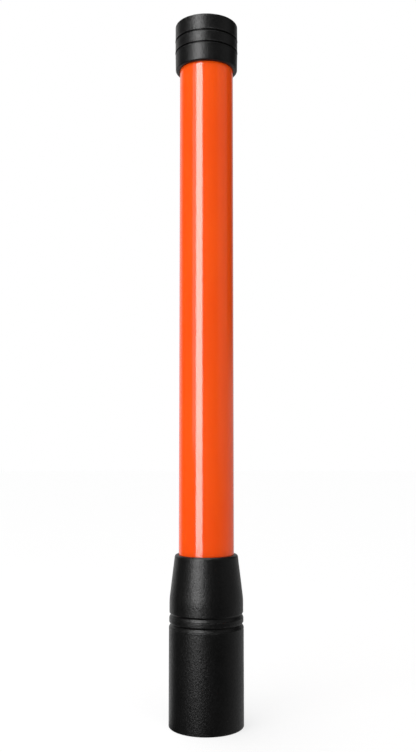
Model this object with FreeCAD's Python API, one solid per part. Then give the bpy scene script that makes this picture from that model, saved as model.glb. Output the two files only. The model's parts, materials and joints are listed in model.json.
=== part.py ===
import FreeCAD, Part
import math
import os

# Traffic baton light: a plastic light tube with an LED board inside, a push-on end cap, and a
# handle whose lower barrel unscrews to free a pack of four AA cells. Millimetres, +Z up, the
# origin at the middle of the plane that it stands on. Turned pieces share the Z axis. Lengths
# are given from the base up, and the handle's length and girth follow from the cells.

V = FreeCAD.Vector
UP = V(0, 0, 1)

# Fits and small edges
slide_fit = 0.1            # radial, piece that slides in its bore
snug_fit = 0.05            # radial, piece fixed in its bore
face_gap = 0.05            # between faces that close on each other
seat_gap = 0.3             # spring contact short of its seat
edge_round = 0.3
mouth_chamfer = 0.4        # at the mouth of a bore
bite = 0.3                 # depth that a rib, boss or ridge is sunk in its wall

# Cells and their pack
cell_radius = 7.1
cell_length = 50.5
nub_radius = 2.75
nub_height = 1.2
cell_gap = 0.4             # cell to the cross between the cells
cell_spring_space = 3.0
cross_thickness = 1.4
cross_inset = 5.4          # cross short of the end discs' rim
pack_rim = 0.7             # end disc beyond the cells
pack_disc = 2.0
pack_board_thickness = 1.0
pad_thickness = 0.4        # every flat contact
cell_pad_radius = 5.0
pack_pad_radius = 8.5
pin_radius = 3.0
pin_foot = 1.0
pin_height = 2.0

# Leaf springs: reach and width of each, and the flat at its tip
leaf_thickness = 0.3
leaf_tip = 2.5
cell_leaf = (7.0, 5.0)
tail_leaf = (9.0, 5.0)

# Coil springs: radius of each coil and its number of turns
wire_radius = 0.3
tail_spring_space = 4.0
positive_coil = (2.4, 2.5)
positive_spring_space = 4.0
switch_coil = (4.2, 5)

# Handle walls
barrel_wall = 2.77
spigot_wall = 2.0
pack_clearance = 1.6       # pack to spigot, with room for the return strip
neck_gap = 0.6             # neck to barrel bore

# Barrel foot
foot_round = 0.4
foot_proud = 0.15          # rubber foot stands this far below the rim
recess_depth = 6.0
floor_thickness = 3.0
foot_ring_clearance = 3.0  # rubber foot to the switch bezel

# Grip ring, and the grooves above and below it
ring_height = 6.8
ring_step = 0.22           # ring radius under barrel radius
groove_depth = 1.32
groove_flank = 1.85        # height of the sloping wall under each groove
overgroove_flank = 1.5     # height of the sloping wall over it
step_depth = 0.35          # fine step under each groove
step_height = 0.55
step_round = 0.1

# Collar
collar_height = 42.2
collar_step = 0.15         # collar radius under ring radius
collar_band = 10.7         # straight part below the cone
knee_round = 50.0
rim_round = 1.8
socket_wall = 2.7
socket_depth = 19.5
web_thickness = 4.0
ledge_width = 4.5          # web beyond its bore, for the driver board
shelf_width = 1.5          # web beyond its bore, for the tube's plug
spigot_length = 11.9       # below the ring
neck_below = 3.4           # neck below the ring
neck_lead_in = 0.6

# Screw thread between spigot and barrel
thread_lead = 6.0
thread_starts = 2
thread_depth = 0.9
thread_gap = 0.3           # crest to the wall opposite
thread_root_width = 1.3
thread_crest_width = 0.6
thread_height = 4.0        # climb of each ridge
thread_start = 1.7         # ridge above the spigot's end

# Seals: radius of each ring's section, and its place
barrel_seal_section = 0.9
barrel_seal_below = 1.4    # below the ring
tube_seal_section = 0.65
tube_seal_below = 9.2      # below the collar's rim
seal_play = 0.2

# Light tube
tube_radius = 20.0
tube_wall = 2.0
tube_shown = 360.1
diffuser_wall = 0.5

# End cap
cap_height = 35.0
cap_wall = 3.3
cap_foot_step = 0.25       # radius at the foot under radius of the bands
cap_foot_round = 1.4
cap_low_band = 13.8
cap_mid_band = 9.0
cap_groove_depth = 0.9
cap_groove_height = 0.9
cap_overhang = 0.2         # lower edge of each upper band beyond the bands
cap_overhang_height = 1.35
cap_overhang_round = 4.0
cap_rim_round = 1.0
cap_roof = 4.8
cap_roof_gap = 1.0
cap_dish_rim = 7.4
cap_dish_slope = 1.0
cap_dish_depth = 0.6

# Plugs in the tube's ends
plug_length = 10.0
plug_flange = 2.0
foot_plug_length = 6.0
foot_plug_floor = 1.5
plug_slot_depth = 6.0
lead_hole_radius = 1.5

# LED board
led_board_width = 16.0
led_board_thickness = 1.6
led_size = 5.0
led_height = 1.5
led_lens_radius = 2.1
led_lens_height = 0.4
led_pitch = 21.0
led_margin = 23.0          # first and last LED from the tube's ends, at least
resistor_width = 3.2
resistor_depth = 1.6
resistor_height = 0.6

# Driver board, and what it carries: angle, inset from the web's bore, radius, height
driver_thickness = 1.6
driver_clearance = 0.6
inductor = (15, 6.6, 3.5, 3.0)
capacitor = (155, 6.2, 2.5, 3.4)
chip_inset = 8.0
chip_size = 5.0
chip_height = 1.2
connector_margin = 2.5
connector_depth = 4.0
connector_height = 3.0

# Board screws
screw_angles = (60, 180, 300)
screw_radius = 1.0
screw_head_radius = 2.0
screw_head_height = 1.5
screw_head_round = 0.5
screw_slot_length = 2.8
screw_slot_width = 0.6
screw_slot_depth = 0.7
screw_bite = 3.0
pilot_depth = 3.4

# Tail switch
button_radius = 6.1
button_flange = 0.75
button_flange_height = 1.4
button_recess = 1.2        # button's face above the base plane
button_rim = 1.2
button_dish_depth = 0.4
button_play = 0.2
switch_wall = 0.95
switch_length = 14.0       # above the floor's underside
switch_roof = 4.0
switch_pitch = 1.5
switch_cut = 0.35
bezel_overhang = 2.4
bezel_height = 2.0
bezel_lip = 1.6
gasket_thickness = 0.4
nut_wall = 3.0
nut_height = 3.0
nut_chamfer = 1.0
terminal_width = 2.8
terminal_thickness = 0.5
terminal_offset = 5.5
terminal_length = 4.0      # switch to tail board
terminal_proud = 0.6
terminal_play = 0.15

# Tail board, its bosses, and the barrel's ribs and contact strip
tail_board_thickness = 1.2
boss_radius = 2.8
boss_clearance = 1.0       # boss to the nut's corners
boss_web = 2.0
rib_width = 2.0
rib_gap = 0.4
rib_clearance = 0.4
rib_angles = (45, 135, 225, 315)
strip_width = 5.0
strip_clearance = 0.2      # each contact strip to the wall behind it
strip_foot = 9.4
strip_tab = 4.0

# Leads
lead_radius = 0.65
lead_offset = 3.5          # from the middle, along the LED board's width
lead_stand_off = 4.6       # from the middle plane, up to the lead's bend
lead_rise = 8.0
lead_step = 5.0
lead_bend = 3.0

# Radii that follow
cell_offset = cell_radius + cell_gap + cross_thickness / 2
pack_radius = math.sqrt(2) * cell_offset + cell_radius + pack_rim
spigot_bore = pack_radius + pack_clearance
thread_wall = spigot_bore + spigot_wall
barrel_bore = thread_wall + thread_depth + thread_gap
barrel_radius = barrel_bore + barrel_wall
neck_radius = barrel_bore - neck_gap
ring_radius = barrel_radius - ring_step
collar_radius = ring_radius - collar_step
lip_radius = barrel_radius - groove_depth
tube_bore = tube_radius - tube_wall
socket_radius = tube_radius + snug_fit
collar_top_radius = socket_radius + socket_wall
cap_bore = tube_radius + slide_fit
cap_radius = cap_bore + cap_wall
plug_radius = tube_bore - snug_fit
diffuser_radius = tube_bore - slide_fit
web_bore = min(spigot_bore - ledge_width, tube_bore - shelf_width)
driver_radius = spigot_bore - driver_clearance
driver_screw_circle = (web_bore + spigot_bore) / 2
button_hollow = button_radius + button_flange + button_play
switch_radius = button_hollow + switch_wall
switch_hole = switch_radius + slide_fit
bezel_radius = switch_radius + bezel_overhang
nut_flat = switch_radius + nut_wall
nut_corner = nut_flat / math.cos(math.radians(30))
boss_circle = nut_corner + boss_clearance + boss_radius
board_hole = screw_radius + slide_fit

# Heights that follow
z_floor = recess_depth
z_floor_top = z_floor + floor_thickness
z_bezel = z_floor - gasket_thickness - bezel_height
z_button_flange = z_bezel + bezel_lip + face_gap
z_button_back = z_button_flange + button_flange_height
z_switch_end = z_floor + switch_length
z_switch_roof = z_switch_end - switch_roof
z_tail_board = z_switch_end + terminal_length
z_tail_board_top = z_tail_board + tail_board_thickness
z_pack_pad = z_tail_board_top + tail_spring_space
z_pack = z_pack_pad + pad_thickness
z_cells = z_pack + pack_board_thickness + pack_disc
z_cells_top = z_cells + cell_spring_space + cell_length + pad_thickness
z_pack_top = z_cells_top + pack_disc + pack_board_thickness
z_pin = z_pack_top + pin_height
z_driver = z_pin + seat_gap + positive_spring_space
z_web = z_driver + driver_thickness
z_tube = z_web + web_thickness
z_collar_top = z_tube + socket_depth
z_collar = z_collar_top - collar_height
z_ring = z_collar - ring_height
z_spigot = z_ring - spigot_length
z_barrel = z_ring - face_gap
z_contact = z_spigot - pad_thickness
z_cap = z_collar_top + tube_shown
z_top = z_cap + cap_height
z_tube_top = z_top - cap_roof - cap_roof_gap - plug_flange
z_led_board = z_tube + foot_plug_floor
z_led_board_top = z_tube_top - plug_length + plug_slot_depth - slide_fit


def fillet_corner(before, corner, after, radius):
    """The start, middle and end of the arc that rounds a corner of an outline."""
    back = (before - corner).normalize()
    ahead = (after - corner).normalize()
    half = back.getAngle(ahead) / 2
    reach = radius / math.tan(half)
    inward = (back + ahead).normalize()
    middle = corner + inward * (radius / math.sin(half) - radius)
    return corner + back * reach, middle, corner + ahead * reach


def rounded_edges(stations, closed):
    """Lines and arcs through (start, middle, end) stations, where middle is None at a corner."""
    edges = []
    for i, (start, middle, end) in enumerate(stations):
        if middle is not None:
            edges.append(Part.Arc(start, middle, end).toShape())
        if i + 1 < len(stations) or closed:
            following = stations[(i + 1) % len(stations)][0]
            edges.append(Part.LineSegment(end, following).toShape())
    return edges


def turned(*corners):
    """A solid of revolution about Z from (radius, z) or (radius, z, rounding) corners."""
    points = [V(c[0], 0, c[1]) for c in corners]
    stations = []
    for i, c in enumerate(corners):
        if len(c) == 3:
            after = points[(i + 1) % len(points)]
            stations.append(fillet_corner(points[i - 1], points[i], after, c[2]))
        else:
            stations.append((points[i], None, points[i]))
    face = Part.Face(Part.Wire(rounded_edges(stations, True)))
    return face.revolve(V(0, 0, 0), UP, 360)


def disc(radius, z, height, x=0, y=0):
    return Part.makeCylinder(radius, height, V(x, y, z))


def ring(outer, inner, z, height):
    return disc(outer, z, height).cut(disc(inner, z, height))


def block(x_size, y_size, z, height, x=0, y=0):
    """A box that stands at z, centred on x and y."""
    return Part.makeBox(x_size, y_size, height, V(x - x_size / 2, y - y_size / 2, z))


def around(shape, angles):
    """Copies of a shape turned about Z, one for each angle in degrees."""
    return [shape.copy().rotate(V(0, 0, 0), UP, a) for a in angles]


def on_circle(radius, angles):
    """Points (x, y) on a circle about Z."""
    return [(radius * math.cos(math.radians(a)), radius * math.sin(math.radians(a))) for a in angles]


def fused(body, pieces):
    for piece in pieces:
        body = body.fuse(piece)
    return body


def thread_ridges(wall, outward, z):
    """Helical ridges on a wall of that radius, one for each start."""
    side = 1 if outward else -1
    root = wall - side * bite
    crest = wall + side * thread_depth
    half_root = thread_root_width / 2
    half_crest = thread_crest_width / 2
    profile = Part.makePolygon([
        V(root, 0, z - half_root),
        V(root, 0, z + half_root),
        V(crest, 0, z + half_crest),
        V(crest, 0, z - half_crest),
        V(root, 0, z - half_root),
    ])
    helix = Part.makeHelix(thread_lead, thread_height, wall)
    helix.translate(V(0, 0, z))
    ridge = Part.Wire(helix.Edges).makePipeShell([profile], True, True)
    return around(ridge, [360 * i / thread_starts for i in range(thread_starts)])


def coil(sizes, z, height):
    """A compression spring between z and z + height, from its coil radius and turns."""
    radius, turns = sizes
    climb = height - 2 * wire_radius
    helix = Part.makeHelix(climb / turns, climb, radius)
    helix.translate(V(0, 0, z + wire_radius))
    start = V(radius, 0, z + wire_radius)
    section = Part.Wire(Part.makeCircle(wire_radius, start, V(0, 1, 0)))
    return Part.Wire(helix.Edges).makePipeShell([section], True, True)


def leaf(sizes, z, height):
    """A bent strip between z and z + height: a foot, a fold and a tongue that rises to a flat tip."""
    reach, width = sizes
    half = reach / 2
    top = z + height
    outline = [
        (-half, z),
        (half, z),
        (half, z + 2 * leaf_thickness),
        (leaf_tip - half, top),
        (-half, top),
        (-half, top - leaf_thickness),
        (leaf_tip - half - leaf_thickness, top - leaf_thickness),
        (half - leaf_thickness, z + 1.5 * leaf_thickness),
        (half - leaf_thickness, z + leaf_thickness),
        (-half, z + leaf_thickness),
    ]
    points = [V(x, -width / 2, height) for x, height in outline + outline[:1]]
    return Part.Face(Part.makePolygon(points)).extrude(V(0, width, 0))


def screw(x, y, z, grip):
    """A pan-head screw driven upwards through a board of that thickness, its seat at z."""
    low = z - screw_head_height
    head = turned(
        (0, low),
        (screw_head_radius, low, screw_head_round),
        (screw_head_radius, z),
        (0, z),
    )
    head.translate(V(x, y, 0))
    head = head.cut(block(screw_slot_length, screw_slot_width, low, screw_slot_depth, x, y))
    head = head.cut(block(screw_slot_width, screw_slot_length, low, screw_slot_depth, x, y))
    return head.fuse(disc(screw_radius - snug_fit, z, grip + screw_bite, x, y))


def bored(body, circle, radius, z, depth):
    """A body with one hole for each board screw."""
    for x, y in on_circle(circle, screw_angles):
        body = body.cut(disc(radius, z, depth, x, y))
    return body


# ---- Head: collar, ring, tube and the light inside it ----

def handle_collar():
    z_neck = z_ring - neck_below
    z_seal = z_ring - barrel_seal_below
    seal_half = barrel_seal_section + seal_play
    seal_floor = barrel_bore - slide_fit - 2 * barrel_seal_section - snug_fit
    z_tube_seal = z_collar_top - tube_seal_below
    tube_seal_half = tube_seal_section + seal_play
    tube_seal_floor = tube_radius + 2 * (tube_seal_section + snug_fit)
    body = turned(
        (spigot_bore, z_spigot, edge_round),
        (thread_wall, z_spigot, edge_round),
        (thread_wall, z_neck),
        (neck_radius, z_neck + neck_lead_in),
        (neck_radius, z_seal - seal_half),
        (seal_floor, z_seal - seal_half),
        (seal_floor, z_seal + seal_half),
        (neck_radius, z_seal + seal_half),
        (neck_radius, z_collar),
        (lip_radius, z_collar),
        (collar_radius, z_collar + overgroove_flank, edge_round),
        (collar_radius, z_collar + collar_band, knee_round),
        (collar_top_radius, z_collar_top, rim_round),
        (socket_radius + mouth_chamfer, z_collar_top),
        (socket_radius, z_collar_top - mouth_chamfer),
        (socket_radius, z_tube_seal + tube_seal_half),
        (tube_seal_floor, z_tube_seal + tube_seal_half),
        (tube_seal_floor, z_tube_seal - tube_seal_half),
        (socket_radius, z_tube_seal - tube_seal_half),
        (socket_radius, z_tube),
        (web_bore, z_tube),
        (web_bore, z_web),
        (spigot_bore, z_web),
    )
    body = bored(body, driver_screw_circle, screw_radius, z_web, pilot_depth)
    return fused(body, thread_ridges(thread_wall, True, z_spigot + thread_start))


def stepped_groove(radius, z):
    """The corners below a groove whose lip is at z: a fine step, then the groove's flank."""
    z_flank = z - groove_flank
    return [
        (radius, z_flank - step_height, step_round),
        (radius - step_depth, z_flank - step_height / 2),
        (radius - step_depth / 2, z_flank, step_round),
        (lip_radius, z),
    ]


def grip_ring():
    bore = neck_radius + slide_fit
    return turned(
        (bore, z_ring),
        (lip_radius, z_ring),
        (ring_radius, z_ring + overgroove_flank, edge_round),
        *stepped_groove(ring_radius, z_collar),
        (bore, z_collar),
    )


def barrel_seal():
    middle = barrel_bore - slide_fit - barrel_seal_section
    return Part.makeTorus(middle, barrel_seal_section, V(0, 0, z_ring - barrel_seal_below))


def tube_seal():
    middle = tube_radius + snug_fit + tube_seal_section
    return Part.makeTorus(middle, tube_seal_section, V(0, 0, z_collar_top - tube_seal_below))


def light_tube():
    return turned(
        (tube_bore, z_tube, edge_round),
        (tube_radius, z_tube, edge_round),
        (tube_radius, z_tube_top, edge_round),
        (tube_bore, z_tube_top, edge_round),
    )


def diffuser_sleeve():
    low = z_tube + foot_plug_length + slide_fit
    high = z_tube_top - plug_length - slide_fit
    return ring(diffuser_radius, diffuser_radius - diffuser_wall, low, high - low)


def board_slot(z, height):
    return block(led_board_width + 2 * slide_fit, led_board_thickness + 2 * slide_fit, z, height)


def foot_holder():
    """Plug in the tube's lower end: a slot for the LED board and two holes for its leads."""
    body = turned(
        (0, z_tube),
        (plug_radius, z_tube, edge_round),
        (plug_radius, z_tube + foot_plug_length, edge_round),
        (0, z_tube + foot_plug_length),
    )
    body = body.cut(board_slot(z_led_board, foot_plug_length))
    for x in (-lead_offset, lead_offset):
        body = body.cut(disc(lead_hole_radius, z_tube, foot_plug_length, x, -lead_stand_off))
    return body


def top_plug():
    body = turned(
        (0, z_tube_top - plug_length),
        (plug_radius, z_tube_top - plug_length, edge_round),
        (plug_radius, z_tube_top),
        (tube_radius - snug_fit, z_tube_top),
        (tube_radius - snug_fit, z_tube_top + plug_flange, edge_round),
        (0, z_tube_top + plug_flange),
    )
    return body.cut(board_slot(z_tube_top - plug_length, plug_slot_depth))


def led_board():
    return block(led_board_width, led_board_thickness, z_led_board, z_led_board_top - z_led_board)


def led_heights():
    span = z_tube_top - z_tube - 2 * led_margin
    gaps = int(span / led_pitch)
    low = (z_tube + z_tube_top - gaps * led_pitch) / 2
    return [low + led_pitch * i for i in range(gaps + 1)]


def leds():
    """The row of LEDs on the board's back, which faces +Y."""
    face = led_board_thickness / 2
    made = []
    for z in led_heights():
        corner = V(-led_size / 2, face, z - led_size / 2)
        package = Part.makeBox(led_size, led_height, led_size, corner)
        lens = Part.makeCylinder(led_lens_radius, led_lens_height, V(0, face + led_height, z), V(0, 1, 0))
        made.append(package.fuse(lens))
    return Part.makeCompound(made)


def led_resistors():
    face = led_board_thickness / 2
    heights = led_heights()
    made = []
    for low, high in zip(heights, heights[1:]):
        z = (low + high - resistor_depth) / 2
        for y in (face, -face - resistor_height):
            corner = V(-resistor_width / 2, y, z)
            made.append(Part.makeBox(resistor_width, resistor_height, resistor_depth, corner))
    return Part.makeCompound(made)


def driver_board():
    board = disc(driver_radius, z_driver, driver_thickness)
    return bored(board, driver_screw_circle, board_hole, z_driver, driver_thickness)


def driver_parts():
    """Inductor, capacitor, controller chip and lead connector on the board's upper side."""
    made = [block(chip_size, chip_size, z_web, chip_height, 0, web_bore - chip_inset)]
    for angle, inset, radius, height in (inductor, capacitor):
        for x, y in on_circle(web_bore - inset, (angle,)):
            made.append(disc(radius, z_web, height, x, y))
    width = 2 * (lead_offset + connector_margin)
    made.append(block(width, connector_depth, z_web, connector_height, 0, -lead_stand_off))
    return Part.makeCompound(made)


def driver_screws():
    places = on_circle(driver_screw_circle, screw_angles)
    return Part.makeCompound([screw(x, y, z_driver, driver_thickness) for x, y in places])


def positive_spring():
    return coil(positive_coil, z_driver - positive_spring_space, positive_spring_space)


def strip_face(bore):
    """How far from the axis a flat contact strip lies against a bore."""
    return math.sqrt(bore ** 2 - (strip_width / 2) ** 2) - strip_clearance


def return_contact():
    """Brass ring under the spigot's end, and the strip from it up to the driver board."""
    outer = strip_face(spigot_bore)
    inner = outer - pad_thickness
    end_ring = ring(thread_wall - slide_fit, inner, z_contact, pad_thickness)
    strip = block(pad_thickness, strip_width, z_contact, z_driver - z_contact, (outer + inner) / 2)
    tab = block(strip_tab, strip_width, z_driver - pad_thickness, pad_thickness, outer - strip_tab / 2)
    return end_ring.fuse(strip).fuse(tab)


def supply_lead(x):
    """Insulated lead from the driver board's connector to the LED board's front face."""
    near = led_board_thickness / 2 + lead_radius
    low = z_tube + lead_rise
    start = V(x, -lead_stand_off, z_web + connector_height)
    first = V(x, -lead_stand_off, low)
    second = V(x, -near, low + lead_step)
    end = V(x, -near, low + 2 * lead_step)
    stations = [
        (start, None, start),
        fillet_corner(start, first, second, lead_bend),
        fillet_corner(first, second, end, lead_bend),
        (end, None, end),
    ]
    section = Part.Wire(Part.makeCircle(lead_radius, start, UP))
    return Part.Wire(rounded_edges(stations, False)).makePipeShell([section], True, True)


# ---- End cap ----

def overhung_groove(z):
    """The corners of a groove round the cap, centred at z, with an overhanging upper edge."""
    half = cap_groove_height / 2
    floor = cap_radius - cap_groove_depth
    return [
        (cap_radius, z - 2 * half, edge_round),
        (floor, z - half / 3),
        (floor, z + 2 * half / 3),
        (cap_radius + cap_overhang, z + half, step_round),
        (cap_radius, z + half + cap_overhang_height, cap_overhang_round),
    ]


def top_cap():
    z_first = z_cap + cap_low_band
    dish = cap_radius - cap_dish_rim
    return turned(
        (0, z_top - cap_roof),
        (cap_bore, z_top - cap_roof, edge_round),
        (cap_bore, z_cap + mouth_chamfer),
        (cap_bore + mouth_chamfer, z_cap),
        (cap_radius - cap_foot_step, z_cap, cap_foot_round),
        *overhung_groove(z_first),
        *overhung_groove(z_first + cap_mid_band),
        (cap_radius, z_top, cap_rim_round),
        (dish, z_top),
        (dish - cap_dish_slope, z_top - cap_dish_depth),
        (0, z_top - cap_dish_depth),
    )


# ---- Battery pack ----

def cell_places():
    """Where the cells stand, and whether each has its positive end up."""
    o = cell_offset
    return [(o, o, True), (-o, o, False), (-o, -o, True), (o, -o, False)]


def cell(x, y, positive_up):
    can = cell_length - nub_height
    body = turned(
        (0, 0),
        (cell_radius, 0, edge_round),
        (cell_radius, can, edge_round),
        (nub_radius, can),
        (nub_radius, cell_length, edge_round),
        (0, cell_length),
    )
    if positive_up:
        return body.translate(V(x, y, z_cells + cell_spring_space))
    body.rotate(V(0, 0, 0), V(1, 0, 0), 180)
    return body.translate(V(x, y, z_cells_top - cell_spring_space))


def pack_frame():
    """Two end discs joined by the cross that keeps the cells apart."""
    height = z_cells_top - z_cells
    span = 2 * (pack_radius - cross_inset)
    low = disc(pack_radius, z_cells - pack_disc, pack_disc)
    across = block(span, cross_thickness, z_cells, height)
    along = block(cross_thickness, span, z_cells, height)
    high = disc(pack_radius, z_cells_top, pack_disc)
    return fused(low, (across, along, high))


def cell_springs():
    made = []
    for x, y, positive_up in cell_places():
        z = z_cells if positive_up else z_cells_top - cell_spring_space
        made.append(leaf(cell_leaf, z, cell_spring_space).translate(V(x, y, 0)))
    return Part.makeCompound(made)


def cell_pads():
    """Flat contacts at the cells' positive ends."""
    made = []
    for x, y, positive_up in cell_places():
        z = z_cells_top - pad_thickness if positive_up else z_cells
        made.append(disc(cell_pad_radius, z, pad_thickness, x, y))
    return Part.makeCompound(made)


def pack_pin():
    return turned(
        (0, z_pack_top),
        (pin_radius + pin_foot, z_pack_top),
        (pin_radius + pin_foot, z_pack_top + pad_thickness),
        (pin_radius, z_pack_top + pad_thickness),
        (pin_radius, z_pin, edge_round),
        (0, z_pin),
    )


# ---- Barrel and tail switch ----

def barrel_ribs():
    """Ribs that steady the pack, between the tail board's screws and the spigot."""
    inner = pack_radius + rib_gap
    low = z_tail_board_top + screw_head_height + rib_clearance
    high = z_contact - pad_thickness - seat_gap - rib_clearance
    depth = barrel_bore + bite - inner
    return around(block(depth, rib_width, low, high - low, inner + depth / 2), rib_angles)


def barrel_bosses():
    """Bosses for the tail board's screws, each tied to the wall by a web."""
    low = z_floor_top - bite
    height = z_tail_board - low
    depth = barrel_bore + bite - boss_circle
    boss = disc(boss_radius, low, height, boss_circle)
    return around(boss.fuse(block(depth, boss_web, low, height, boss_circle + depth / 2)), screw_angles)


def handle_barrel():
    body = turned(
        (switch_hole, z_floor),
        (barrel_bore, z_floor),
        (barrel_bore, foot_proud),
        (barrel_radius, foot_proud, foot_round),
        *stepped_groove(barrel_radius, z_barrel),
        (barrel_bore + mouth_chamfer, z_barrel),
        (barrel_bore, z_barrel - mouth_chamfer),
        (barrel_bore, z_floor_top, edge_round),
        (switch_hole, z_floor_top),
    )
    half_pitch = thread_lead / thread_starts / 2
    ridges = thread_ridges(barrel_bore, False, z_spigot + thread_start - half_pitch)
    body = fused(body, ridges + barrel_ribs() + barrel_bosses())
    return bored(body, boss_circle, screw_radius, z_tail_board - pilot_depth, pilot_depth)


def foot_ring():
    """Rubber foot pressed into the barrel's underside, round the switch recess."""
    inner = bezel_radius + foot_ring_clearance
    outer = barrel_bore - snug_fit
    return turned(
        (inner, 0, 2 * edge_round),
        (outer, 0, 2 * edge_round),
        (outer, z_floor),
        (inner, z_floor),
    )


def switch_gasket():
    return ring(bezel_radius - edge_round, switch_hole, z_floor - gasket_thickness, gasket_thickness)


def switch_body():
    """Panel switch: bezel under the floor, threaded body through it, hollow for the button."""
    mouth = button_radius + button_play
    z_ledge = z_bezel + bezel_lip
    body = turned(
        (mouth, z_bezel, edge_round),
        (bezel_radius, z_bezel, 2 * edge_round),
        (bezel_radius, z_bezel + bezel_height),
        (switch_radius, z_bezel + bezel_height),
        (switch_radius, z_switch_end, edge_round),
        (0, z_switch_end),
        (0, z_switch_roof),
        (button_hollow, z_switch_roof),
        (button_hollow, z_ledge),
        (mouth, z_ledge),
    )
    low = z_floor_top + nut_height
    half = switch_pitch / 3
    for i in range(int((z_switch_end - low) / switch_pitch)):
        z = low + switch_pitch * i + half
        groove = turned(
            (switch_radius + switch_cut, z - half),
            (switch_radius + switch_cut, z + half),
            (switch_radius - switch_cut, z),
        )
        body = body.cut(groove)
    return body


def switch_nut():
    points = [V(x, y, z_floor_top) for x, y in on_circle(nut_corner, range(0, 361, 60))]
    body = Part.Face(Part.makePolygon(points)).extrude(V(0, 0, nut_height))
    chamfer = turned(
        (switch_radius + snug_fit, z_floor_top),
        (nut_corner + nut_chamfer, z_floor_top),
        (nut_corner + nut_chamfer, z_floor_top + nut_height - nut_chamfer),
        (nut_flat, z_floor_top + nut_height),
        (switch_radius + snug_fit, z_floor_top + nut_height),
    )
    return body.common(chamfer)


def switch_terminals():
    height = terminal_length + tail_board_thickness + terminal_proud
    made = [block(terminal_width, terminal_thickness, z_switch_end, height, 0, y)
            for y in (-terminal_offset, terminal_offset)]
    return Part.makeCompound(made)


def switch_button():
    rim = button_radius - button_rim
    flange = button_radius + button_flange
    return turned(
        (0, button_recess + button_dish_depth),
        (rim - button_rim, button_recess + button_dish_depth),
        (rim, button_recess, edge_round),
        (button_radius, button_recess, 2 * edge_round),
        (button_radius, z_button_flange),
        (flange, z_button_flange),
        (flange, z_button_back),
        (0, z_button_back),
    )


def switch_spring():
    return coil(switch_coil, z_button_back, z_switch_roof - z_button_back)


def tail_board():
    board = disc(pack_radius, z_tail_board, tail_board_thickness)
    body = bored(board, boss_circle, board_hole, z_tail_board, tail_board_thickness)
    width = terminal_width + 2 * terminal_play
    depth = terminal_thickness + 2 * terminal_play
    for y in (-terminal_offset, terminal_offset):
        body = body.cut(block(width, depth, z_tail_board, tail_board_thickness, 0, y))
    return body


def tail_board_screws():
    made = []
    for x, y in on_circle(boss_circle, screw_angles):
        upright = screw(x, y, 0, tail_board_thickness)
        upright.rotate(V(x, y, 0), V(1, 0, 0), 180)
        made.append(upright.translate(V(0, 0, z_tail_board_top)))
    return Part.makeCompound(made)


def tail_spring():
    return leaf(tail_leaf, z_tail_board_top, tail_spring_space - face_gap)


def barrel_contact():
    """Brass strip from the tail board up the barrel's wall, its end bent in under the spigot."""
    outer = strip_face(barrel_bore)
    z_end = z_contact - seat_gap
    middle = outer - pad_thickness / 2
    wall = block(pad_thickness, strip_width, z_tail_board_top, z_end - z_tail_board_top, middle)
    foot = block(strip_foot, strip_width, z_tail_board_top, pad_thickness, outer - strip_foot / 2)
    reach = outer - spigot_bore
    tip = block(reach, strip_width, z_end - pad_thickness, pad_thickness, outer - reach / 2)
    return wall.fuse(foot).fuse(tip)


def nodes():
    front_leds = leds()
    front_leds.rotate(V(0, 0, 0), UP, 180)
    made = {
        "handle_collar": handle_collar(),
        "grip_ring": grip_ring(),
        "barrel_seal": barrel_seal(),
        "tube_seal": tube_seal(),
        "light_tube": light_tube(),
        "diffuser_sleeve": diffuser_sleeve(),
        "foot_holder": foot_holder(),
        "top_plug": top_plug(),
        "led_board": led_board(),
        "leds_front": front_leds,
        "leds_back": leds(),
        "led_resistors": led_resistors(),
        "driver_board": driver_board(),
        "driver_parts": driver_parts(),
        "driver_screws": driver_screws(),
        "positive_spring": positive_spring(),
        "return_contact": return_contact(),
        "lead_positive": supply_lead(lead_offset),
        "lead_negative": supply_lead(-lead_offset),
        "top_cap": top_cap(),
        "pack_frame": pack_frame(),
        "pack_board_lower": disc(pack_radius, z_pack, pack_board_thickness),
        "pack_board_upper": disc(pack_radius, z_cells_top + pack_disc, pack_board_thickness),
        "pack_pad": disc(pack_pad_radius, z_pack_pad, pad_thickness),
        "pack_pin": pack_pin(),
        "cell_springs": cell_springs(),
        "cell_pads": cell_pads(),
        "handle_barrel": handle_barrel(),
        "foot_ring": foot_ring(),
        "switch_gasket": switch_gasket(),
        "switch_body": switch_body(),
        "switch_nut": switch_nut(),
        "switch_terminals": switch_terminals(),
        "switch_button": switch_button(),
        "switch_spring": switch_spring(),
        "tail_board": tail_board(),
        "tail_board_screws": tail_board_screws(),
        "tail_spring": tail_spring(),
        "barrel_contact": barrel_contact(),
    }
    for number, (x, y, positive_up) in enumerate(cell_places(), 1):
        made[f"cell_{number}"] = cell(x, y, positive_up)
    return made


def main():
    os.makedirs("parts", exist_ok=True)
    for name, shape in nodes().items():
        shape.exportStep(f"parts/{name}.step")
        print(f"{name}: {len(shape.Solids)} solids, valid {shape.isValid()}, {shape.Volume:.1f} mm3")


main()
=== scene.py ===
import json
import math

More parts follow.
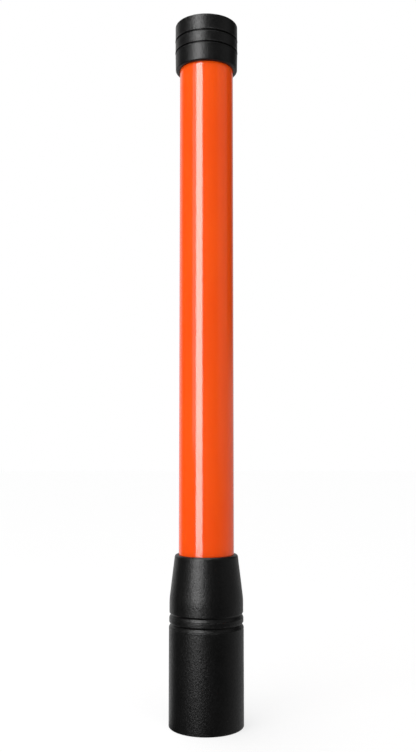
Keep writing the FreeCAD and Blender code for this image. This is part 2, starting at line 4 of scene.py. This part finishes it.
import bpy
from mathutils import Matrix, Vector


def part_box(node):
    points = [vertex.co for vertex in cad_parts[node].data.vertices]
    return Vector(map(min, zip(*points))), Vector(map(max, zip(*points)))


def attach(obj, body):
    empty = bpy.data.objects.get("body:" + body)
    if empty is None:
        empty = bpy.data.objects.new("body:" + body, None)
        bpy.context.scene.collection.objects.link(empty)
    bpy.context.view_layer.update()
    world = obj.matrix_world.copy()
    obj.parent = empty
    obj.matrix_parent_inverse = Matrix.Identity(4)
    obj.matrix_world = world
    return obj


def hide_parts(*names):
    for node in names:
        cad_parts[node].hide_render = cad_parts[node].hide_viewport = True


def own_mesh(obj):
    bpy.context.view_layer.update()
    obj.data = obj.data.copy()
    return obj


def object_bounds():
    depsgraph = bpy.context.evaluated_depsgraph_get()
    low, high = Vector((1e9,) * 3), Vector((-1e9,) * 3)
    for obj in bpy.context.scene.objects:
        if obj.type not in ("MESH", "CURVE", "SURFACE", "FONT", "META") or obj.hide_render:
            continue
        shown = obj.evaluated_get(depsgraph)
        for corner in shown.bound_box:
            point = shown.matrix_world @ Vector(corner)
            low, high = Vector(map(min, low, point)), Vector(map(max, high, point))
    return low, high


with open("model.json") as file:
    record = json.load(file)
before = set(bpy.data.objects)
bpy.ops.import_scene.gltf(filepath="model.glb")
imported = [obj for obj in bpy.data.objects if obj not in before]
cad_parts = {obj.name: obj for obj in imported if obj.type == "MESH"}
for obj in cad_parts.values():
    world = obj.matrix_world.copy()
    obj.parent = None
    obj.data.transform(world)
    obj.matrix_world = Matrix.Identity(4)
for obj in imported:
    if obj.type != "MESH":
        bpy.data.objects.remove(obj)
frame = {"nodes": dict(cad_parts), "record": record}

cad_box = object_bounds()

MM = 0.001

# Camera: in front of the baton, a little above its grip, tilted up so that the whole baton fits
camera_distance = 0.6427
camera_height = 0.2002
camera_side = 0.0012
camera_tilt = math.radians(4.47)
camera_lens = 41.88
camera_sensor = 36.0

# Main sizes, read from the frame
z_floor = cad_box[0].z
cap_low, cap_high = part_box("top_cap")
collar_low, collar_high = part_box("handle_collar")
ring_low, ring_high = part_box("grip_ring")
barrel_low, barrel_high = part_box("handle_barrel")

# Heights of the outer edges that hands and tables rub, three of them beside a groove's sloping wall; their
# colour is painted lighter there, partly wear and partly a painted highlight
wall_under_groove = 2.3 * MM
wall_over_groove = 1.7 * MM
worn_and_highlit_edges = [
    barrel_low.z + 0.3 * MM,
    barrel_high.z - wall_under_groove,
    ring_low.z + wall_over_groove,
    ring_high.z - wall_under_groove,
    collar_high.z - 0.5 * MM,
    cap_low.z + 0.4 * MM,
    cap_high.z - 0.3 * MM,
]
worn_and_highlit_width = 0.8 * MM

# Stage
floor_size = 12
floor_white = (0.92, 0.92, 0.92, 1)
floor_glow = 1.15   # added to the lit floor for the camera, so that it comes out white
glow_share = 0.62   # how much of the floor that the camera sees is this glow
near_shift = 0.025  # the floor's directions start this far in front, as gloss at the base sees near floor
full_white = (1, 1, 1, 1)


# ---- Node trees ----

class Tree:
    """A short way to write the nodes of one material or world."""

    def __init__(self, owner):
        owner.use_nodes = True
        self.nodes = owner.node_tree.nodes
        self.links = owner.node_tree.links
        self.nodes.clear()

    def add(self, kind, inputs=None, out=0, **settings):
        """Adds a node and gives one of its outputs. An input is a value or another output."""
        node = self.nodes.new("ShaderNode" + kind)
        for name, value in settings.items():
            setattr(node, name, value)
        for name, value in (inputs or {}).items():
            if isinstance(value, bpy.types.NodeSocket):
                self.links.new(value, node.inputs[name])
            else:
                node.inputs[name].default_value = value
        return node.outputs[out]

    def math(self, operation, a, b=0.0, clamp=False):
        return self.add("Math", {0: a, 1: b}, operation=operation, use_clamp=clamp)

    def place(self, stretch=(1, 1, 1)):
        """Object coordinates in metres, stretched along each axis."""
        coordinates = self.add("TexCoord", out="Object")
        return self.add("Mapping", {"Vector": coordinates, "Scale": stretch})

    def noise(self, size, detail=2.0, rough=0.5, stretch=(1, 1, 1)):
        """Noise from 0 to 1 whose lumps are about that size in metres."""
        return self.add("TexNoise", {"Vector": self.place(stretch), "Scale": 1 / size,
                                     "Detail": detail, "Roughness": rough})

    def spread(self, value, low, high, a, b):
        """Maps low..high to a..b, held at both ends."""
        return self.add("MapRange", {"Value": value, "From Min": low, "From Max": high,
                                     "To Min": a, "To Max": b})

    def turn(self, angle, low, high, a, b):
        """Maps an angle between low and high, in degrees, to a..b, held at both ends."""
        return self.spread(angle, math.radians(low), math.radians(high), a, b)

    def mix(self, share, a, b):
        """A colour between a and b."""
        node = self.nodes.new("ShaderNodeMix")
        node.data_type = "RGBA"
        for index, value in ((0, share), (6, a), (7, b)):
            if isinstance(value, bpy.types.NodeSocket):
                self.links.new(value, node.inputs[index])
            elif index == 0:
                node.inputs[index].default_value = value
            else:
                node.inputs[index].default_value = (*value, 1)
        return node.outputs[2]

    def bump(self, height, distance, strength=1.0, normal=None):
        inputs = {"Height": height, "Distance": distance, "Strength": strength}
        if normal is not None:
            inputs["Normal"] = normal
        return self.add("Bump", inputs)

    def surface(self, inputs):
        """Ends the tree in one Principled shader."""
        shader = self.add("BsdfPrincipled", inputs)
        self.add_output(shader)

    def add_output(self, shader, kind="OutputMaterial"):
        self.links.new(shader, self.nodes.new("ShaderNode" + kind).inputs["Surface"])


def material(name):
    """A new material and its empty tree."""
    made = bpy.data.materials.new(name)
    return made, Tree(made)


# Mask for the edges whose colour is painted lighter: partly wear, partly a painted highlight along groove
# and rim edges
def wear_and_highlight(tree, heights, width):
    """1 at the given heights of the baton and 0 a width away, broken up by noise."""
    z = tree.add("SeparateXYZ", {0: tree.place()}, out="Z")
    total = None
    for height in heights:
        away = tree.math("ABSOLUTE", tree.math("SUBTRACT", z, height))
        near = tree.spread(away, 0, width, 1, 0)
        total = near if total is None else tree.math("MAXIMUM", total, near)
    patches = tree.spread(tree.noise(4 * MM, 3, 0.6), 0.42, 0.66, 0.15, 1)
    return tree.math("MULTIPLY", total, patches)


# ---- Materials ----

def black_plastic():
    """Spark-eroded black ABS: fine pits with a softer mottle, edges rubbed a little smoother and painted
    lighter, partly wear and partly a painted highlight.
    """
    made, t = material("black_plastic")
    grain = t.noise(0.8 * MM, 2, 0.6)
    mottle = t.noise(1.8 * MM, 3, 0.65)
    cloud = t.noise(22 * MM, 2)
    rubbed_highlight = wear_and_highlight(t, worn_and_highlit_edges, worn_and_highlit_width)
    tone = t.mix(t.spread(cloud, 0.3, 0.7, 0, 1), (0.0024, 0.0024, 0.0024), (0.0036, 0.0036, 0.0035))
    # Edges painted lighter: partly wear, partly a painted highlight on the groove and rim edges
    colour = t.mix(rubbed_highlight, tone, (0.011, 0.011, 0.011))
    rough = t.math("ADD", t.spread(mottle, 0.3, 0.7, 0.30, 0.42), t.spread(grain, 0.3, 0.7, -0.04, 0.04))
    rough = t.math("SUBTRACT", rough, t.math("MULTIPLY", rubbed_highlight, 0.08))
    normal = t.bump(mottle, 0.18 * MM, 1.0, t.bump(grain, 0.08 * MM, 1.0))
    t.surface({"Base Color": colour, "Roughness": rough, "Normal": normal, "IOR": 1.5,
               "Specular IOR Level": 0.26})
    return made


def orange_plastic():
    """Extruded translucent tube: a clear gloss over a deep orange, with faint draw lines."""
    made, t = material("orange_plastic")
    draw_lines = t.noise(1.6 * MM, 2, 0.5, stretch=(1, 1, 0.012))
    swell = t.noise(16 * MM, 1, 0.5, stretch=(1, 1, 0.15))
    rubs = t.noise(0.9 * MM, 3, 0.7, stretch=(1, 1, 0.25))
    cloud = t.noise(40 * MM, 2, 0.5, stretch=(1, 1, 0.4))
    colour = t.mix(t.spread(cloud, 0.3, 0.7, 0, 1), (0.90, 0.078, 0.004), (0.95, 0.094, 0.005))
    rough = t.spread(rubs, 0.45, 0.75, 0.11, 0.17)
    normal = t.bump(swell, 0.012 * MM, 0.5, t.bump(draw_lines, 0.002 * MM, 0.6))
    t.surface({"Base Color": colour, "Roughness": rough, "Normal": normal, "IOR": 1.49,
               "Subsurface Weight": 0.12, "Subsurface Radius": (1.0, 0.25, 0.05),
               "Subsurface Scale": 2.5 * MM})
    return made


def satin(name, dark, light, rough, grain_size, depth, **more):
    """A moulded or cast surface of one colour, with cloudy tone, grain and uneven gloss."""
    made, t = material(name)
    cloud = t.noise(6 * MM, 3, 0.6)
    grain = t.noise(grain_size, 2, 0.6)
    colour = t.mix(t.spread(cloud, 0.3, 0.7, 0, 1), dark, light)
    low, high = rough
    sheen = t.math("ADD", t.spread(cloud, 0.3, 0.7, low, high), t.spread(grain, 0.3, 0.7, -0.03, 0.03))
    t.surface({"Base Color": colour, "Roughness": sheen, "Normal": t.bump(grain, depth, 0.7), **more})
    return made


def drawn_metal(name, dark, light, rough, stretch):
    """Metal with fine lines along one direction and duller patches."""
    made, t = material(name)
    lines = t.noise(0.15 * MM, 3, 0.6, stretch)
    patch = t.noise(3 * MM, 3, 0.6)
    colour = t.mix(t.spread(patch, 0.35, 0.65, 0, 1), dark, light)
    low, high = rough
    sheen = t.math("ADD", t.spread(patch, 0.3, 0.7, low, high), t.spread(lines, 0.3, 0.7, -0.04, 0.04))
    t.surface({"Base Color": colour, "Metallic": 1.0, "Roughness": sheen,
               "Normal": t.bump(lines, 0.01 * MM, 0.5)})
    return made


def circuit_board():
    """Green solder mask over a woven board, with faint copper tracks under it."""
    made, t = material("circuit_board")
    weave = t.add("TexWave", {"Vector": t.place(), "Scale": 1 / (1.2 * MM), "Distortion": 0.6})
    track = t.add("TexVoronoi", {"Vector": t.place(), "Scale": 1 / (2.6 * MM)}, feature="DISTANCE_TO_EDGE")
    path = t.spread(track, 0.05, 0.09, 1, 0)
    base = t.mix(t.spread(weave, 0.2, 0.8, 0, 1), (0.006, 0.085, 0.03), (0.009, 0.11, 0.04))
    colour = t.mix(path, base, (0.02, 0.19, 0.06))
    height = t.math("ADD", path, t.math("MULTIPLY", weave, 0.3))
    t.surface({"Base Color": colour, "Roughness": t.spread(weave, 0, 1, 0.28, 0.4),
               "Normal": t.bump(height, 0.02 * MM, 0.6)})
    return made


def led_package():
    """Cloudy yellow phosphor under a thin clear coat."""
    made, t = material("led_package")
    lump = t.noise(0.5 * MM, 2)
    colour = t.mix(t.spread(lump, 0.35, 0.6, 0, 1), (0.86, 0.70, 0.16), (0.90, 0.80, 0.42))
    t.surface({"Base Color": colour, "Roughness": t.spread(lump, 0.3, 0.7, 0.18, 0.32),
               "Normal": t.bump(lump, 0.02 * MM, 0.5), "Coat Weight": 0.5})
    return made


# Satin finishes: darkest and lightest colour, roughness range, grain size and grain depth
SATINS = {
    "white_plastic": ((0.74, 0.74, 0.71), (0.82, 0.82, 0.80), (0.36, 0.48), 0.5 * MM, 0.02 * MM),
    "black_rubber": ((0.010, 0.010, 0.010), (0.017, 0.017, 0.016), (0.62, 0.78), 0.3 * MM, 0.04 * MM),
    "button_plastic": ((0.016, 0.016, 0.017), (0.024, 0.024, 0.025), (0.32, 0.42), 0.35 * MM, 0.02 * MM),
    "switch_plastic": ((0.018, 0.018, 0.019), (0.028, 0.028, 0.029), (0.38, 0.5), 0.4 * MM, 0.02 * MM),
    "chip_plastic": ((0.012, 0.012, 0.013), (0.022, 0.022, 0.022), (0.45, 0.6), 0.2 * MM, 0.02 * MM),
    "red_lead": ((0.45, 0.015, 0.012), (0.58, 0.025, 0.018), (0.36, 0.5), 0.3 * MM, 0.01 * MM),
    "black_lead": ((0.012, 0.012, 0.012), (0.02, 0.02, 0.02), (0.36, 0.5), 0.3 * MM, 0.01 * MM),
    "cell_sleeve": ((0.045, 0.12, 0.075), (0.06, 0.15, 0.09), (0.22, 0.34), 0.6 * MM, 0.01 * MM),
}
SATIN_EXTRAS = {
    "white_plastic": {"Subsurface Weight": 0.1, "Subsurface Scale": 2 * MM},
    "cell_sleeve": {"Metallic": 0.6},
}

# Metals: darkest and lightest colour, roughness range, and how the fine lines stretch along each axis
METALS = {
    "screw_steel": ((0.50, 0.50, 0.50), (0.62, 0.62, 0.62), (0.26, 0.4), (1, 1, 4)),
    "spring_steel": ((0.55, 0.55, 0.55), (0.68, 0.68, 0.67), (0.2, 0.32), (1, 1, 1)),
    "contact_brass": ((0.62, 0.43, 0.15), (0.74, 0.55, 0.22), (0.24, 0.38), (1, 1, 0.1)),
}

FINISHES = {
    "black_plastic": black_plastic(),
    "orange_plastic": orange_plastic(),
    "circuit_board": circuit_board(),
    "led_package": led_package(),
}
for finish_name, look in SATINS.items():
    FINISHES[finish_name] = satin(finish_name, *look, **SATIN_EXTRAS.get(finish_name, {}))
for finish_name, look in METALS.items():
    FINISHES[finish_name] = drawn_metal(finish_name, *look)


def dress_frame():
    """Gives each carried-over CAD node its finish, by the record's own slots."""
    for subpart in frame["record"]["subparts"]:
        node = frame["nodes"][subpart["node"]]
        node.data.materials.clear()
        node.data.materials.append(FINISHES[subpart["material_slot"]])


def return_spring():
    """Stands for the switch's return spring with its own copy of the mesh, carried by the barrel."""
    made = bpy.data.objects.new("return_spring", frame["nodes"]["switch_spring"].data.copy())
    bpy.context.scene.collection.objects.link(made)
    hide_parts("switch_spring")
    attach(made, "barrel")
    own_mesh(made)


# ---- Studio ----

def ray_kinds(t):
    """1 for a ray from the camera, and 1 for one off gloss or through glass."""
    light_path = t.add("LightPath").node.outputs
    return (light_path["Is Camera Ray"],
            t.math("MAXIMUM", light_path["Is Glossy Ray"], light_path["Is Transmission Ray"]))


def wall_glow(t, x, y):
    """The direction round the baton, and how bright the room behind it is there in its gloss."""
    angle = t.math("ARCTAN2", x, t.math("MULTIPLY", y, -1.0))
    left = t.math("MULTIPLY", t.turn(angle, -140, -116, 0.9, 0.03),
                  t.turn(angle, -170, -150, 0.6, 1))
    right = t.turn(angle, 136, 150, 0, 0.5)
    return angle, t.math("MAXIMUM", left, right)


def right_glow(t, angle):
    """A low glow on the right, which the floor and the foot of the world share."""
    return t.turn(angle, 45, 107, 0, 0.45)


def floor():
    """A wide white floor that keeps the baton's shadow."""
    bpy.ops.mesh.primitive_grid_add(x_subdivisions=8, y_subdivisions=8, size=floor_size,
                                    location=(0, 0, z_floor))
    made = bpy.context.object
    made.name = "floor"
    finish, t = material("floor")
    x, y, _ = t.add("SeparateXYZ", {0: t.place()}).node.outputs
    angle, lit = wall_glow(t, x, t.math("ADD", y, near_shift))
    lit = t.math("MAXIMUM", lit, right_glow(t, angle))
    camera_ray, shiny = ray_kinds(t)
    strength = t.math("ADD", t.math("MULTIPLY", camera_ray, floor_glow), t.math("MULTIPLY", shiny, lit))
    share = t.math("ADD", t.math("MULTIPLY", camera_ray, glow_share), shiny, clamp=True)
    glow = t.add("Emission", {"Color": full_white, "Strength": strength})
    matte = t.add("BsdfDiffuse", {"Color": floor_white})
    t.add_output(t.add("MixShader", {0: share, 1: matte, 2: glow}))
    made.data.materials.append(finish)


def studio_world():
    """White behind the baton, a dark room on the camera's side, and an even soft fill."""
    world = bpy.data.worlds.new("studio")
    bpy.context.scene.world = world
    t = Tree(world)
    x, y, z = t.add("SeparateXYZ", {0: t.add("TexCoord", out="Generated")}).node.outputs
    angle, wall = wall_glow(t, x, y)
    wall = t.math("MULTIPLY", wall, t.spread(z, 0.45, 0.75, 1, 0.05))
    # What gloss sees on the right: an upright panel, and a glow near the horizon
    panel = t.math("MULTIPLY", t.turn(angle, 40, 60, 0, 0.35), t.turn(angle, 92, 106, 1, 0))
    horizon = t.math("MULTIPLY", right_glow(t, angle), t.spread(z, 0.05, 0.15, 1, 0))
    seen = t.math("MAXIMUM", t.math("MAXIMUM", wall, panel), horizon)
    # What lights matte surfaces: mostly the front and left, with a little from behind on the right
    fill = t.math("MULTIPLY", t.turn(angle, 20, 92, 1, 0.1), 1.1)
    fill = t.math("ADD", fill, t.turn(angle, 140, 175, 0, 0.4))
    camera_ray, shiny = ray_kinds(t)
    soft = t.math("MULTIPLY", fill, t.math("SUBTRACT", 1.0, t.math("MAXIMUM", camera_ray, shiny)))
    strength = t.math("ADD", t.math("ADD", camera_ray, t.math("MULTIPLY", shiny, seen)), soft)
    t.add_output(t.add("Background", {"Color": full_white, "Strength": strength}), "OutputWorld")


def soft_box(name, azimuth, distance, width, low, high, radiance, gloss_only=False):
    """An upright lamp that faces the baton, its azimuth counted to the left of the camera."""
    lamp = bpy.data.lights.new(name, "AREA")
    lamp.shape = "RECTANGLE"
    lamp.size = width
    lamp.size_y = high - low
    lamp.energy = radiance * math.pi * width * (high - low)
    made = bpy.data.objects.new(name, lamp)
    turn = math.radians(azimuth)
    made.location = (-math.sin(turn) * distance, -math.cos(turn) * distance, (low + high) / 2)
    made.rotation_euler = (math.radians(90), 0, -turn)
    made.visible_diffuse = not gloss_only
    bpy.context.scene.collection.objects.link(made)


def overhead_box(place, size, radiance):
    """A level lamp above the baton that only its gloss shows, as light lines on the edges."""
    lamp = bpy.data.lights.new("overhead", "AREA")
    lamp.size = size
    lamp.energy = radiance * math.pi * size ** 2
    made = bpy.data.objects.new("overhead", lamp)
    made.location = place
    made.visible_diffuse = False
    bpy.context.scene.collection.objects.link(made)


def camera():
    """The photograph's view, with its frame's height filling the sensor's."""
    data = bpy.data.cameras.new("camera")
    data.lens = camera_lens
    data.sensor_fit = "VERTICAL"
    data.sensor_height = camera_sensor
    data.sensor_width = camera_sensor
    made = bpy.data.objects.new("camera", data)
    made.location = (camera_side, -camera_distance, camera_height)
    made.rotation_euler = (math.radians(90) + camera_tilt, 0, 0)
    bpy.context.scene.collection.objects.link(made)
    bpy.context.scene.camera = made


dress_frame()
return_spring()
floor()
studio_world()
soft_box("strip", azimuth=30, distance=0.9, width=0.44, low=0.0, high=1.5, radiance=11.0, gloss_only=True)
soft_box("key", azimuth=40, distance=1.2, width=0.9, low=0.2, high=1.4, radiance=1.6)
overhead_box(place=(-0.15, -0.1, 1.4), size=0.9, radiance=6.0)
camera()
bpy.context.scene.view_settings.view_transform = "Standard"
